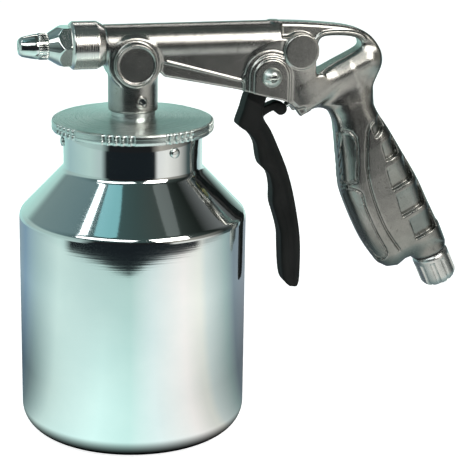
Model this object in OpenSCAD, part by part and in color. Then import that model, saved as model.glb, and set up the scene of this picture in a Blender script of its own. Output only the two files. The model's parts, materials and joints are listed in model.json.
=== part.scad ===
// Suction-feed spray gun: a hollow die-cast body with a trigger valve, an
// adjustable nozzle and a one litre cup under a quarter-turn bayonet lid.
// Origin: centre of the cup's base. +Z up, nozzle towards -X, handle towards +X.

/* [Cup] */
// Outer radius of the cup
cup_r = 54; // [50:1:58]
// Wall of the cup
cup_wall = 1.8; // [1.2:0.1:2.4]
// Radius of the rounded base edge
base_r = 12; // [8:1:16]
// Height of the straight side
side_z = 108.5; // [104:0.5:110]
// Height where the shoulder meets the neck
neck_z = 127; // [124:0.5:129]
// Outer radius of the neck
neck_r = 32.8; // [32.4:0.1:33.2]

/* [Lid] */
// Outer radius of the knurled rim
lid_r = 38.2; // [37.6:0.1:39]
// Height of the rim's top edge
lid_z = 152.5; // [152:0.5:153]
// Number of gripping groups round the rim
grip_groups = 8; // [6:1:10]
// Notches in each gripping group
grip_notches = 5; // [3:1:5]
// Angle that the lid turns from locked to open
lid_open = 40; // [36:1:42]

/* [Barrel] */
// Height of the spray axis
barrel_z = 187.7; // [187:0.1:188.4]
// Outer radius of the barrel
barrel_r = 9.4; // [9:0.1:10]
// Outer radius of the retaining collar
collar_r = 11.2; // [10.8:0.1:11.6]
// Half thickness of the web under the barrel
web_y = 8.5; // [7:0.5:9]

/* [Trigger] */
// Height of the trigger pivot
pivot_z = 171.6; // [171:0.1:172]
// Distance of the pivot from the cup's axis
pivot_x = 64.5; // [64:0.1:65]
// Radius of the pivot screw's shank
pivot_r = 2.5; // [2:0.1:3]
// Width of the finger part
trigger_w = 12; // [11:0.5:14]

/* [Valve] */
// Slope of the air valve in the body
valve_tilt = 26; // [25:1:27]
// Radius of the valve rod
rod_r = 1.5; // [1.2:0.1:1.8]

/* [Handle] */
// Wall of the hollow handle
handle_wall = 2.8; // [2.4:0.1:3.2]
// Angle of the air inlet from the vertical
inlet_tilt = 24.8; // [24:0.1:25.6]
// Radius of the fluted inlet connector
inlet_r = 9.2; // [8.8:0.1:9.5]
// Core radius of the G1/4 inlet thread
inlet_bore_r = 5.72; // [5.6:0.01:5.9]

/* [Hidden] */
$fn = 64;

silver = "silver";
cast = "darkgray";
black = "#161616";

fit_gap = 0.05;          // radial clearance of a thread or a running fit
neck_top = 148.4;        // rim of the cup's neck
neck_in = neck_r - 1.6;
pin_z = 142;             // bayonet pins
pin_r = 1.75;
pin_turns = [-66, 54, 174];
stem_r = 11.7;
stem_z = 156.5;
tube_r = 4;
tube_bore = 3;
valve_x = 74.6;          // tip of the valve rod, where the trigger's arm meets it
valve_z = 155.8;
chamber_r = 5.5;         // bore that holds the valve
inlet_x = 151.5;         // centre of the handle's inlet face
inlet_z = 78.6;
slot_y = 5.2;            // half width of the trigger slot
seal_x = -43.6;          // seal ring inside the spray tip

// --- helpers -----------------------------------------------------------

// A flat outline in the X-Z plane, given a half thickness in Y
module plate(points, half) {
    rotate([90, 0, 0]) linear_extrude(2 * half, center = true) polygon(points);
}

// A disc or rod along Y through (x, z)
module y_rod(x, z, r, half) {
    translate([x, 0, z]) rotate([90, 0, 0]) cylinder(h = 2 * half, r = r, center = true);
}

// A cylinder or cone along X from x0 to x1 on the spray axis
module x_rod(x0, x1, r0, r1 = -1) {
    translate([x0, 0, barrel_z]) rotate([0, 90, 0])
        cylinder(h = x1 - x0, r1 = r0, r2 = r1 < 0 ? r0 : r1);
}

// The valve's own frame: +Z runs from the rod's tip into the body
module on_valve() {
    translate([valve_x, 0, valve_z]) rotate([0, 90 - valve_tilt, 0]) children();
}

// The inlet's own frame: +Z runs out of the handle
module on_inlet() {
    translate([inlet_x, 0, inlet_z]) rotate([0, 180 - inlet_tilt, 0]) children();
}

// Points of a smooth curve through p, with n steps between two points
function at(p, i) = p[min(max(i, 0), len(p) - 1)];
function blend4(a, b, c, d, t) =
    0.5 * (2 * b + (c - a) * t + (2 * a - 5 * b + 4 * c - d) * t * t
           + (3 * b - a - 3 * c + d) * t * t * t);
function smooth(p, n) = concat(
    [for (i = [0 : len(p) - 2]) for (k = [0 : n - 1])
        blend4(at(p, i - 1), p[i], p[i + 1], at(p, i + 2), k / n)],
    [p[len(p) - 1]]);

// --- cup and lid -------------------------------------------------------

module cup_section(r, z0, zs, zn, rn, zt, round_r) {
    polygon(concat(
        [[0, z0]],
        [for (a = [-90 : 10 : 0])
            [r - round_r + round_r * cos(a), z0 + round_r + round_r * sin(a)]],
        [for (a = [0 : 15 : 45]) [r - 6 + 6 * cos(a), zs - 4 + 6 * sin(a)]],
        [for (a = [230 : -14 : 188]) [rn + 5 + 5 * cos(a), zn + 4 + 5 * sin(a)]],
        [[rn, zn + 6], [rn, zt], [0, zt]]));
}

module cup() {
    color(silver) difference() {
        rotate_extrude($fn = 96)
            cup_section(cup_r, 0, side_z, neck_z, neck_r, neck_top, base_r);
        rotate_extrude($fn = 96)
            cup_section(cup_r - cup_wall, 2.4, side_z - 0.8, neck_z - 1.4,
                        neck_in, neck_top + 1, base_r - cup_wall);
        for (a = pin_turns) rotate([0, 0, a]) translate([neck_in - 2, 0, pin_z])
            rotate([0, 90, 0]) cylinder(h = 6, r = pin_r);
    }
}

module cup_pins() {
    head_r = 2.5;
    color(silver) for (a = pin_turns) rotate([0, 0, a]) translate([0, 0, pin_z])
        rotate([0, 90, 0]) rotate_extrude($fn = 32) polygon([
            [0, 29], [pin_r, 29], [pin_r, neck_r], [head_r, neck_r],
            [head_r, neck_r + 0.7], [head_r * 0.7, neck_r + 1.3],
            [0, neck_r + 1.5]]);
}

module lid() {
    skirt_r = 28.6;
    ramp_r = 30.8;
    ramp_z = pin_z - pin_r - 0.1;
    color(silver) difference() {
        union() {
            rotate_extrude($fn = 96) polygon([
                [tube_r + 0.2, lid_z + 1.9], [9, lid_z + 1.9], [30, lid_z + 0.6],
                [lid_r - 1.2, lid_z], [lid_r - 0.3, lid_z - 0.3],
                [lid_r, lid_z - 1], [lid_r, lid_z - 4.2],
                [lid_r - 0.8, lid_z - 5], [neck_r + 1.2, lid_z - 5],
                [neck_r + 1.2, neck_top + 1.7], [skirt_r, neck_top + 1.7],
                [skirt_r, ramp_z - 3], [skirt_r - 2, ramp_z - 3],
                [skirt_r - 2, neck_top + 1.4], [tube_r + 0.2, neck_top + 1.4]]);
            // Three ramps that hook under the pins, with a stop at one end
            for (a = pin_turns) rotate([0, 0, a - 28]) {
                translate([0, 0, ramp_z - 2]) rotate_extrude(angle = 40)
                    translate([skirt_r - 1, 0]) square([ramp_r - skirt_r + 1, 2]);
                rotate([0, 0, 33]) translate([0, 0, ramp_z - 1])
                    rotate_extrude(angle = 6)
                    translate([skirt_r - 0.6, 0])
                    square([ramp_r - skirt_r + 0.4, 5]);
            }
        }
        for (g = [0 : grip_groups - 1]) for (k = [0 : grip_notches - 1])
            rotate([0, 0, 23.5 + g * 360 / grip_groups + (k - (grip_notches - 1) / 2) * 5])
                translate([lid_r + 0.8, 0, lid_z - 6])
                    cylinder(h = 7, r = 1.7, $fn = 24);
        // Vent, so that air can follow the paint out of the cup
        rotate([0, 0, 70]) translate([22, 0, neck_top]) cylinder(h = 9, r = 0.8, $fn = 24);
    }
}

module lid_gasket() {
    color(black) translate([0, 0, neck_top + 0.05]) difference() {
        cylinder(h = 1.65, r = neck_r + 1, $fn = 96);
        translate([0, 0, -1]) cylinder(h = 4, r = 28.8, $fn = 96);
    }
}

// --- suction stem ------------------------------------------------------

module stem_ring() {
    color(cast) translate([0, 0, lid_z + 1.9]) difference() {
        cylinder(h = stem_z - lid_z - 1.9, r = 10.5);
        translate([0, 0, -1]) cylinder(h = 5, r = tube_r + fit_gap);
    }
}

module stem_screw() {
    screw_z = 162.2;
    color(silver) translate([1.9, 0, screw_z]) rotate([90, 0, 0]) difference() {
        translate([0, 0, tube_r + fit_gap]) cylinder(h = 6.95, r = 1.5 - fit_gap / 2, $fn = 32);
        translate([0, 0, 10]) cylinder(h = 2, r = 0.75, $fn = 6);
    }
}

module pickup_tube() {
    foot = 7;
    color(silver) translate([0, 0, foot]) difference() {
        cylinder(h = 172 - foot, r = tube_r);
        translate([0, 0, -1]) cylinder(h = 200, r = tube_bore);
        // Slanted foot, so that the tube can't seal itself on the base
        translate([0, 0, -2]) rotate([0, 25, 0]) cube([20, 20, 4.6], center = true);
    }
}

module tube_nut() {
    color(silver) translate([0, 0, neck_top + 1.4 - 6]) difference() {
        cylinder(h = 6, r = 7.5, $fn = 6);
        translate([0, 0, -1]) cylinder(h = 8, r = tube_r + fit_gap);
    }
}

// --- gun body ----------------------------------------------------------

// Lower edge of the web and the head, from the stem to the valve's ear
web_edge = [[9, 178], [13.5, 173], [33, 169], [52, 165], [62, 162.3],
            [70.6, 160.2], [74.4, 158.1], [77.6, 155.3], [80.6, 151.4]];

// Outer edge of the hanging eye, from the barrel round to the handle's back
eye_edge = [[68, 196.6], [92, 195.4], [104, 193.6], [111.5, 191.4], [117, 187],
            [120.8, 181.5], [121.6, 175.6], [119.6, 169.5], [117.6, 163.5],
            [117.4, 157]];

// The opening that the gun hangs by
eye_hole = [[88, 171.8], [88.5, 179], [89, 185], [90.6, 188.4], [95, 189.4],
            [104, 189], [109.4, 187.4], [110.8, 185], [109.2, 182.4],
            [98, 176.7]];

// Front and back points and half width of the handle, from the head down
handle_rings = [[90, 157, 118, 169, 7.6], [96.6, 150.6, 117.3, 160.6, 8.6],
                [99.8, 143, 119.4, 153.2, 9.4], [101.2, 128.2, 127, 142, 10.6],
                [103.4, 114, 134.2, 130.6, 11.2], [107.2, 103, 140.6, 120.8, 11.2],
                [112.6, 91.4, 147, 108.4, 10.8], [118.2, 82.2, 152, 99.4, 10.2],
                [126.2, 72.6, 158.6, 86.4, 9]];

// One ring of the handle: a rounded section between the front and back points
function handle_ring(s, wall, n) =
    let (f = [s[0], s[1]], b = [s[2], s[3]], c = (f + b) / 2,
         deep = norm(b - f) / 2 - wall, w = (b - f) / norm(b - f),
         wide = s[4] - wall, e = 0.84)
    [for (k = [0 : n - 1])
        let (ca = cos(360 * k / n), sa = sin(360 * k / n),
             u = deep * sign(ca) * pow(abs(ca), e),
             v = wide * sign(sa) * pow(abs(sa), e))
        [c[0] + w[0] * u, v, c[1] + w[1] * u]];

// A closed skin over a list of rings with n points each
module skin(rings, n) {
    last = len(rings) - 1;
    polyhedron(
        points = [for (r = rings) for (p = r) p],
        faces = concat(
            [[for (k = [n - 1 : -1 : 0]) k]],
            [for (i = [0 : last - 1]) for (k = [0 : n - 1])
                [i * n + k, (i + 1) * n + (k + 1) % n, (i + 1) * n + k]],
            [for (i = [0 : last - 1]) for (k = [0 : n - 1])
                [i * n + k, i * n + (k + 1) % n, (i + 1) * n + (k + 1) % n]],
            [[for (k = [0 : n - 1]) last * n + k]]));
}

module handle_outside() {
    n = 28;
    skin([for (s = smooth(handle_rings, 2)) handle_ring(s, 0, n)], n);
    // Rounded toe in front of the inlet
    plate(smooth([[124.8, 74], [128.6, 71.6], [135.4, 72.2], [139, 75.6],
                  [138, 82], [125, 82]], 2), 7);
    on_inlet() translate([0, 0, -14]) cylinder(h = 14, r = 10);
}

module handle_core() {
    n = 20;
    core = [for (i = [2 : 8]) handle_rings[i] - (i == 8 ? [1.8, -4, 1.8, -4, 0] : [0, 0, 0, 0, 0])];
    skin([for (s = smooth(core, 1)) handle_ring(s, handle_wall, n)], n);
    on_inlet() translate([0, 0, -16]) cylinder(h = 20, r = 6.6);
}

module grip_panels() {
    // Two long shallow panels on each side of the handle's front
    front = [[[102.4, 138], [104.8, 117.5]], [[106.2, 113.5], [123.6, 78.5]]];
    for (side = [-1, 1]) for (p = front)
        hull() for (q = p)
            translate([q[0] + 4, side * 12.2, q[1]]) rotate([90, 0, 0])
                cylinder(h = 5.2, r = 2.1, center = true, $fn = 24);
}

module rib_pockets() {
    // Five stepped pockets along the back, each with a lip below it
    ribs = 5;
    for (side = [-1, 1]) for (i = [0 : ribs - 1]) {
        t = i / (ribs - 1);
        translate([123.5 + 26.5 * t, side * (10.6 + 0.8 * sin(180 * t)), 138 - 44 * t])
            rotate([0, 30, 0])
                cube([8, 3.2, 6.4], center = true);
    }
}

module head_walls() {
    // Cheeks on each side of the trigger slot
    cheek = concat([for (i = [4 : 8]) web_edge[i]],
                   [[88, 156.5], [96, 160], [98, 170], [88, 174], [87, 182],
                    [72, 186], [56, 182], [52.5, 176], [51.5, 170], [52, 165]]);
    plate(cheek, 9);
    // Double-stepped boss round the pivot
    y_rod(pivot_x, pivot_z, 12.4, 10.2);
    y_rod(pivot_x, pivot_z, 9.4, 11.6);
    // Flat round pad above the valve
    y_rod(79.2, 183.4, 8.5, 10.2);
    plate([[72.8, 178], [76, 168], [82, 168], [85.6, 178]], 10);
}

module eye_frame() {
    plate(concat(smooth(eye_edge, 3), [[100, 152], [86, 158], [68, 176]]), 5);
    // Rounded strut from the valve up to the back of the eye
    translate([96.5, 0, 166.6]) rotate([0, 60, 0]) {
        cylinder(h = 21, r = 8);
        translate([0, 0, 21]) sphere(r = 8);
        sphere(r = 8);
    }
}

module gun_shell() {
    x_rod(-14.5, 70, barrel_r);
    x_rod(-29.2, 0, 7.5);
    plate(concat(web_edge, [[84, 152], [90, 165], [84, 186], [9, 188]]), web_y);
    // Raised rim along the web's lower edge
    plate([[13.5, 173], [48, 166], [50, 171], [47.5, 170], [14, 178.4]],
          web_y + 0.8);
    translate([0, 0, stem_z]) {
        cylinder(h = 24, r = stem_r - 1);
        translate([0, 0, 1]) cylinder(h = 18, r = stem_r);
    }
    y_rod(-0.7, 179.8, 12.5, 9.3);
    y_rod(-0.7, 179.8, 9.7, 13);
    head_walls();
    eye_frame();
    on_valve() translate([0, 0, 4]) cylinder(h = 32, r = 7.9);
    handle_outside();
}

module gun_body() {
    color(cast) difference() {
        gun_shell();
        // Shallow dish in each medallion
        for (side = [-1, 1]) translate([-0.7, side * 13, 179.8]) rotate([90, 0, 0])
            cylinder(h = 1.2, r = 8.6, center = true);
        // Spray axis: paint chamber in front, air passage behind
        x_rod(-40, 18, 5 + fit_gap);
        x_rod(10, 66, 3);
        // Stem: socket of the pickup tube, and its way up to the barrel
        translate([0, 0, stem_z - 1]) cylinder(h = 16.6, r = tube_r + fit_gap);
        translate([0, 0, stem_z]) cylinder(h = 30, r = tube_bore);
        translate([1.9, 0, 162.2]) rotate([90, 0, 0])
            cylinder(h = 20, r = 1.5, $fn = 32);
        // Slot for the trigger and its valve arm
        plate([[55.5, 171.6], [51.4, 162], [49, 140], [90, 140],
               [83.4, 151.2], [76.6, 165.2], [74, 171.6]], slot_y);
        y_rod(pivot_x, pivot_z, 9.4, slot_y);
        y_rod(pivot_x, pivot_z, pivot_r + fit_gap, 20);
        // Valve chamber, then the port that joins it to the barrel
        on_valve() translate([0, 0, 3.9]) cylinder(h = 30.1, r = chamber_r);
        translate([91.5, 0, 164]) rotate([0, -50, 0]) cylinder(h = 34, r = 2.4);
        handle_core();
        // Passage from the handle into the valve chamber
        translate([113, 0, 146]) rotate([0, -25, 0]) cylinder(h = 20, r = 4);
        grip_panels();
        rib_pockets();
        plate(smooth(concat(eye_hole, [eye_hole[0]]), 3), 30);
    }
}

// --- nozzle ------------------------------------------------------------

module nozzle_collar() {
    color(silver) difference() {
        union() {
            x_rod(-29.8, -28.6, collar_r - 1, collar_r);
            x_rod(-28.6, -17.4, collar_r);
            x_rod(-17.4, -14.6, collar_r, barrel_r + 0.2);
        }
        x_rod(-40, 0, 7.5 + fit_gap);
        for (x = [-26 : 2.2 : -19]) x_ring(x, collar_r - 0.3, collar_r + 1, 0.5);
    }
}

// A thin ring to cut a turned groove
module x_ring(x, r0, r1, w) {
    translate([x, 0, barrel_z]) rotate([0, 90, 0]) difference() {
        cylinder(h = w, r = r1);
        translate([0, 0, -1]) cylinder(h = w + 2, r = r0);
    }
}

module nozzle_body() {
    color(silver) difference() {
        union() {
            intersection() {
                x_rod(-35.6, -29.85, 10.4);
                translate([-29.85, 0, barrel_z]) rotate([0, -90, 0])
                    cylinder(h = 5.75, r = 10.2, $fn = 6);
            }
            x_rod(-40, -35.6, 6.1, 8.9);
            x_rod(-46.5, -40, 4.4);
            x_rod(-29.85, -17, 5);
        }
        x_rod(-50, -10, 2.9);
    }
}

module tip_seal() {
    color(black) translate([seal_x, 0, barrel_z]) rotate([0, 90, 0])
        rotate_extrude($fn = 48) translate([4.85, 0]) circle(r = 0.42, $fn = 20);
}

module spray_tip() {
    color(silver) difference() {
        union() {
            difference() {
                x_rod(-44.8, -40.15, 6.2);
                for (k = [0 : 23]) translate([-45, 0, barrel_z])
                    rotate([k * 15, 0, 0]) translate([0, 0, 6.5])
                        rotate([0, 90, 0]) cylinder(h = 5, r = 0.6, $fn = 16);
            }
            x_rod(-52, -44.8, 4.6, 5.9);
            x_rod(-53.6, -52, 3.4, 4.6);
        }
        x_rod(-47, -39, 4.4 + fit_gap);
        x_rod(-51.5, -47, 1.6, 4.4);
        x_rod(-60, -50, 1.1);
        // Groove of the seal ring
        x_rod(seal_x - 0.6, seal_x + 0.6, 5.35);
    }
}

module air_tube() {
    color("goldenrod") difference() {
        union() {
            x_rod(-44, 16, 1.9);
            x_rod(14, 17.9, 5);
        }
        x_rod(-50, 20, 1.1);
    }
}

// --- trigger -----------------------------------------------------------

trigger_front = [[54.6, 161.6], [52.6, 155.2], [50.4, 148.8], [51, 146.9],
                 [56.1, 143.1], [59.5, 137.8], [60.7, 131.2], [62.2, 126.8],
                 [66.2, 122.7], [67.9, 115.6], [68.1, 108.1], [70.3, 100.8],
                 [72.4, 92.7], [72.9, 84], [73.5, 75.1], [74.8, 68.5], [77.9, 65.2]];
trigger_back = [[81.4, 64.8], [82.6, 68.1], [82.9, 80], [82.5, 89.9],
                [80.9, 100.9], [78.1, 114.4], [74.7, 125.8], [70.4, 136.1],
                [66.6, 144.5], [62.9, 150.4], [62.1, 154.4], [62.6, 157.4]];

module trigger() {
    nose_r = 3;
    color(black) difference() {
        union() {
            plate(concat(smooth(trigger_front, 2), smooth(trigger_back, 2)),
                  trigger_w / 2);
            // Tongue that hangs on the pivot
            y_rod(pivot_x, pivot_z, 8, slot_y - 0.4);
            plate([[57, 169], [54.6, 161.6], [53.4, 157], [62.1, 155], [64.4, 161.6],
                   [69, 166]], slot_y - 0.4);
            // Arm with a round nose that pushes the valve rod
            plate(concat(smooth([[62, 150.4], [66, 153], [69, 153.8], [71, 151.8]], 2),
                         [[72, 154]],
                         smooth([[72, 157.3], [69, 158.2], [62.2, 155.4]], 2)), 3.6);
            on_valve() translate([0, 0, -nose_r - fit_gap]) rotate([90, 0, 0])
                cylinder(h = 7.2, r = nose_r, center = true);
        }
        y_rod(pivot_x, pivot_z, pivot_r + fit_gap, 20);
    }
}

module trigger_screw() {
    color(silver) difference() {
        union() {
            translate([pivot_x, 0, pivot_z]) rotate([90, 0, 0]) {
                translate([0, 0, -14.6]) cylinder(h = 26.2, r = pivot_r);
                translate([0, 0, 11.6]) cylinder(h = 0.8, r = 4.5);
                intersection() {
                    translate([0, 0, 12.4]) cylinder(h = 2, r = 4.5);
                    translate([0, 0, 7.6]) sphere(r = 6.6);
                }
            }
        }
        translate([pivot_x, -14.4, pivot_z]) cube([12, 1.6, 1.1], center = true);
    }
}

module trigger_nut() {
    color(silver) translate([pivot_x, 11.6, pivot_z]) rotate([-90, 0, 0])
        difference() {
            cylinder(h = 2.8, r = 4.6, $fn = 6);
            translate([0, 0, -1]) cylinder(h = 5, r = pivot_r + fit_gap / 2);
        }
}

// --- air valve ---------------------------------------------------------

module valve_gland() {
    color("goldenrod") on_valve() translate([0, 0, 6.4]) difference() {
        cylinder(h = 5.4, r = chamber_r - fit_gap);
        translate([0, 0, -1]) cylinder(h = 8, r = rod_r + fit_gap);
        translate([0, 0, 0]) cube([20, 1.4, 2], center = true);
    }
}

module valve_packing() {
    color(black) on_valve() translate([0, 0, 11.9]) difference() {
        cylinder(h = 2, r = chamber_r - fit_gap);
        translate([0, 0, -1]) cylinder(h = 4, r = rod_r + fit_gap);
    }
}

module valve_seat() {
    color("goldenrod") on_valve() translate([0, 0, 14]) difference() {
        cylinder(h = 9.4, r = chamber_r - fit_gap);
        translate([0, 0, 1.6]) cylinder(h = 9, r = 3);
        translate([0, 0, -1]) cylinder(h = 12, r = rod_r + fit_gap);
        // Ports from the middle of the seat to the way up to the barrel
        for (a = [0, 90]) translate([0, 0, 4.4]) rotate([90, 0, a])
            cylinder(h = 12, r = 1.6, center = true);
    }
}

module valve_rod() {
    color(silver) on_valve() {
        cylinder(h = 24, r = rod_r);
        translate([0, 0, 23.5]) cylinder(h = 2.2, r = 4.4);
        translate([0, 0, 25.7]) cylinder(h = 2, r = 1.9);
    }
}

module valve_spring() {
    turns = 4.5;
    coil_r = 3.3;
    wire_r = 0.45;
    steps = 20;
    sides = 8;
    from = 26.3;
    length = 7.1;
    color(silver) on_valve() skin([for (i = [0 : turns * steps])
        let (a = 360 * i / steps, z = from + length * i / (turns * steps))
        [for (k = [0 : sides - 1]) let (b = 360 * k / sides)
            [(coil_r + wire_r * cos(b)) * cos(a),
             (coil_r + wire_r * cos(b)) * sin(a), z + wire_r * sin(b)]]], sides);
}

// --- air inlet ---------------------------------------------------------

module inlet_seal() {
    color(black) on_inlet() translate([0, 0, 0.05]) difference() {
        cylinder(h = 1.1, r = 8.4);
        translate([0, 0, -1]) cylinder(h = 4, r = 6.6);
    }
}

module air_inlet() {
    flutes = 10;
    color(silver) on_inlet() difference() {
        union() {
            translate([0, 0, -10]) cylinder(h = 12, r = 6.6 - fit_gap);
            translate([0, 0, 1.2]) cylinder(h = 1, r1 = inlet_r - 1, r2 = inlet_r);
            translate([0, 0, 2.2]) cylinder(h = 12, r = inlet_r);
            translate([0, 0, 14.2]) cylinder(h = 3, r1 = inlet_r, r2 = inlet_r - 2.2);
        }
        translate([0, 0, -20]) cylinder(h = 30, r = 4);
        translate([0, 0, 4]) cylinder(h = 20, r = inlet_bore_r);
        for (k = [0 : flutes - 1]) rotate([0, 0, 360 * k / flutes])
            translate([inlet_r + 0.7, 0, 5.4]) {
                cylinder(h = 14, r = 1.5, $fn = 24);
                sphere(r = 1.5, $fn = 24);
            }
    }
}

// --- nodes -------------------------------------------------------------

cup();
cup_pins();
lid();
lid_gasket();
stem_ring();
stem_screw();
pickup_tube();
tube_nut();
gun_body();
nozzle_collar();
nozzle_body();
tip_seal();
spray_tip();
air_tube();
trigger();
trigger_screw();
trigger_nut();
valve_gland();
valve_packing();
valve_seat();
valve_rod();
valve_spring();
inlet_seal();
air_inlet();
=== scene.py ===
import json
import math

import bpy
import numpy as np
from mathutils import Matrix, Vector


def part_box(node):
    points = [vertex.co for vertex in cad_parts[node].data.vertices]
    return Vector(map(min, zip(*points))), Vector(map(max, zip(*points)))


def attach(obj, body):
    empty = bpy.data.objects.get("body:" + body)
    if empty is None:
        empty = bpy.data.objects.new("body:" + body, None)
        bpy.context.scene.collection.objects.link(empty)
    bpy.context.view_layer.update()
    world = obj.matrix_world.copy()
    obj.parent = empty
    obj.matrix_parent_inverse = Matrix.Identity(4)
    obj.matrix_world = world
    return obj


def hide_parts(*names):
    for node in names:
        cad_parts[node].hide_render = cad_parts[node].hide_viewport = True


MM = 0.001
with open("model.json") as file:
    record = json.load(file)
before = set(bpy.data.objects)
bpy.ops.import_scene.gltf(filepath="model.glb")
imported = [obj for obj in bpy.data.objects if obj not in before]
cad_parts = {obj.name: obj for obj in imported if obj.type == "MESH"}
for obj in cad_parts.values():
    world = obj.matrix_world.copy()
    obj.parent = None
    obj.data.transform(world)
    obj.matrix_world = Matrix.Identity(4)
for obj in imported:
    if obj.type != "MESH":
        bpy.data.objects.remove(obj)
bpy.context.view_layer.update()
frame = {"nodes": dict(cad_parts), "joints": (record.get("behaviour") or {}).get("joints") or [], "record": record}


# --- places taken from the frame ----------------------------------------------


def box_mm(node):
    """Lowest and highest corner of a CAD node, in millimetres."""
    lo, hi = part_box(node)
    return np.array(lo) / MM, np.array(hi) / MM


def joint(name):
    return next(j for j in frame["joints"] if j["name"] == name)


cup_lo, cup_hi = box_mm("cup")
lid_lo, lid_hi = box_mm("lid")
gun_lo, gun_hi = box_mm("gun_body")
collar_lo, collar_hi = box_mm("nozzle_collar")
CUP_R = (cup_hi[0] - cup_lo[0]) / 2
LID_R = (lid_hi[0] - lid_lo[0]) / 2
BARREL_Z = (collar_lo[2] + collar_hi[2]) / 2
PIVOT = np.array(joint("trigger_pull")["pos_m"]) / MM
VALVE_DIR = np.array(joint("valve_slide")["axis"])
INLET = next(m for m in frame["record"]["mounts"] if m["name"] == "air_inlet")
INLET_DIR = np.array(INLET["axis"])
INLET_FACE = np.array(INLET["pos_m"]) / MM - INLET_DIR * 10.6


# --- distance fields ------------------------------------------------------------
# Fields are arrays over a grid: x, z arrays are shaped (nx, 1, nz) and y is (1, ny, 1).


def curve(points, n, closed=False):
    """A smooth curve through the points, with n steps between two of them."""
    p = [np.array(q, float) for q in points]
    if closed:
        p = [p[-1]] + p + [p[0], p[1]]
    else:
        p = [p[0]] + p + [p[-1]]
    out = []
    for a, b, c, d in zip(p, p[1:], p[2:], p[3:]):
        for k in range(n):
            t = k / n
            out.append(0.5 * (2 * b + (c - a) * t + (2 * a - 5 * b + 4 * c - d) * t * t
                              + (3 * b - a - 3 * c + d) * t ** 3))
    if not closed:
        out.append(p[-1])
    return [tuple(q) for q in out]


def polygon(x, z, points):
    """Signed distance to a closed outline in the X-Z plane."""
    best = np.full(np.broadcast(x, z).shape, 1e9)
    sign = np.ones_like(best)
    for (ax, az), (bx, bz) in zip(points, points[1:] + points[:1]):
        ex, ez = bx - ax, bz - az
        wx, wz = x - ax, z - az
        t = np.clip((wx * ex + wz * ez) / (ex * ex + ez * ez + 1e-12), 0, 1)
        best = np.minimum(best, (wx - ex * t) ** 2 + (wz - ez * t) ** 2)
        c1, c2 = z >= az, z < bz
        c3 = ex * wz > ez * wx
        flip = (c1 & c2 & c3) | (~c1 & ~c2 & ~c3)
        sign = np.where(flip, -sign, sign)
    return sign * np.sqrt(best)


def path_distance(x, z, points):
    """Distance to an open line of points in the X-Z plane."""
    best = np.full(np.broadcast(x, z).shape, 1e9)
    for (ax, az), (bx, bz) in zip(points, points[1:]):
        ex, ez = bx - ax, bz - az
        t = np.clip(((x - ax) * ex + (z - az) * ez) / (ex * ex + ez * ez + 1e-12), 0, 1)
        best = np.minimum(best, (x - ax - ex * t) ** 2 + (z - az - ez * t) ** 2)
    return np.sqrt(best)


def plate(flat, y, half, round_r):
    """An outline's field made solid between -half and half, with rounded edges."""
    qx, qy = flat + round_r, np.abs(y) - half + round_r
    return (np.minimum(np.maximum(qx, qy), 0)
            + np.hypot(np.maximum(qx, 0), np.maximum(qy, 0)) - round_r)


def capsule(x, y, z, a, b, r):
    a, b = np.array(a, float), np.array(b, float)
    e = b - a
    t = np.clip(((x - a[0]) * e[0] + (y - a[1]) * e[1] + (z - a[2]) * e[2]) / (e @ e), 0, 1)
    return np.sqrt((x - a[0] - e[0] * t) ** 2 + (y - a[1] - e[1] * t) ** 2
                   + (z - a[2] - e[2] * t) ** 2) - r


def rod(x, y, z, a, b, r, round_r=0.3):
    """A cylinder between a and b with slightly rounded ends."""
    a, b = np.array(a, float), np.array(b, float)
    e = b - a
    length = math.sqrt(e @ e)
    e /= length
    dx, dy, dz = x - a[0], y - a[1], z - a[2]
    along = dx * e[0] + dy * e[1] + dz * e[2]
    radial = np.sqrt(np.maximum(dx * dx + dy * dy + dz * dz - along * along, 0))
    qx, qy = radial - r + round_r, np.abs(along - length / 2) - length / 2 + round_r
    return (np.minimum(np.maximum(qx, qy), 0)
            + np.hypot(np.maximum(qx, 0), np.maximum(qy, 0)) - round_r)


def join(a, b, k):
    """Union with a fillet of about k."""
    h = np.clip(0.5 + 0.5 * (b - a) / k, 0, 1)
    return b + (a - b) * h - k * h * (1 - h)


def cut(a, b, k):
    """a without b, with the edge eased by about k."""
    return -join(-a, b, k)


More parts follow.
